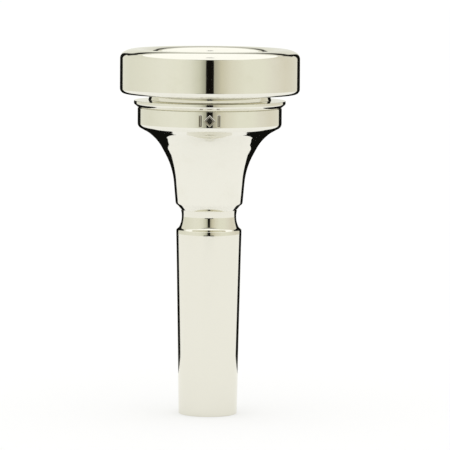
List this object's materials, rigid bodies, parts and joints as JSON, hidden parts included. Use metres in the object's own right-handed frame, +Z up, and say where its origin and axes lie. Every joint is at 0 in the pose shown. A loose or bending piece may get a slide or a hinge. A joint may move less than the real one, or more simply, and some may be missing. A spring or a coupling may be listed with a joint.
{
  "type": "trombone mouthpiece",
  "caption": "Large-shank trombone mouthpiece in silver plate, with a screw-on rim, a beaded neck, a flared cup and a tapered shank.",
  "frame": {"origin": "centre of the shank's end face, on the bore axis", "axes": "+Z up the bore axis from the shank's end to the rim; -Y is the front, where the band's mark is"},
  "size_m": [0.0392, 0.0392, 0.0798],
  "materials": {
    "silver_plate": "mirror-polished silver plate on brass",
    "seal_rubber": "matt black nitrile rubber"
  },
  "bodies": {
    "shank": {"shank": "silver_plate"},
    "shank_seal": {"shank_seal": "seal_rubber"},
    "cup": {"cup_body": "silver_plate"},
    "rim_seal": {"rim_seal": "seal_rubber"},
    "rim": {"screw_rim": "silver_plate"}
  },
  "joints": [
    {"name": "cup_turn", "type": "hinge", "parent": "shank", "child": "shank_seal", "pos_m": [0, 0, 0.0458], "axis": [0, 0, 1], "range_deg": [0, 1260]},
    {"name": "cup_lift", "type": "slide", "parent": "shank_seal", "child": "cup", "axis": [0, 0, 1], "range_m": [0, 0.0035]},
    {"name": "rim_lift", "type": "slide", "parent": "cup", "child": "rim_seal", "axis": [0, 0, 1], "range_m": [0, 0.0025]},
    {"name": "rim_turn", "type": "hinge", "parent": "rim_seal", "child": "rim", "pos_m": [0, 0, 0.0667], "axis": [0, 0, 1], "range_deg": [0, 900]}
  ],
  "couplings": [
    {"joint": "cup_lift", "follows": "cup_turn", "m_per_rad": 0.00015915},
    {"joint": "rim_lift", "follows": "rim_turn", "m_per_rad": 0.00015915}
  ]
}
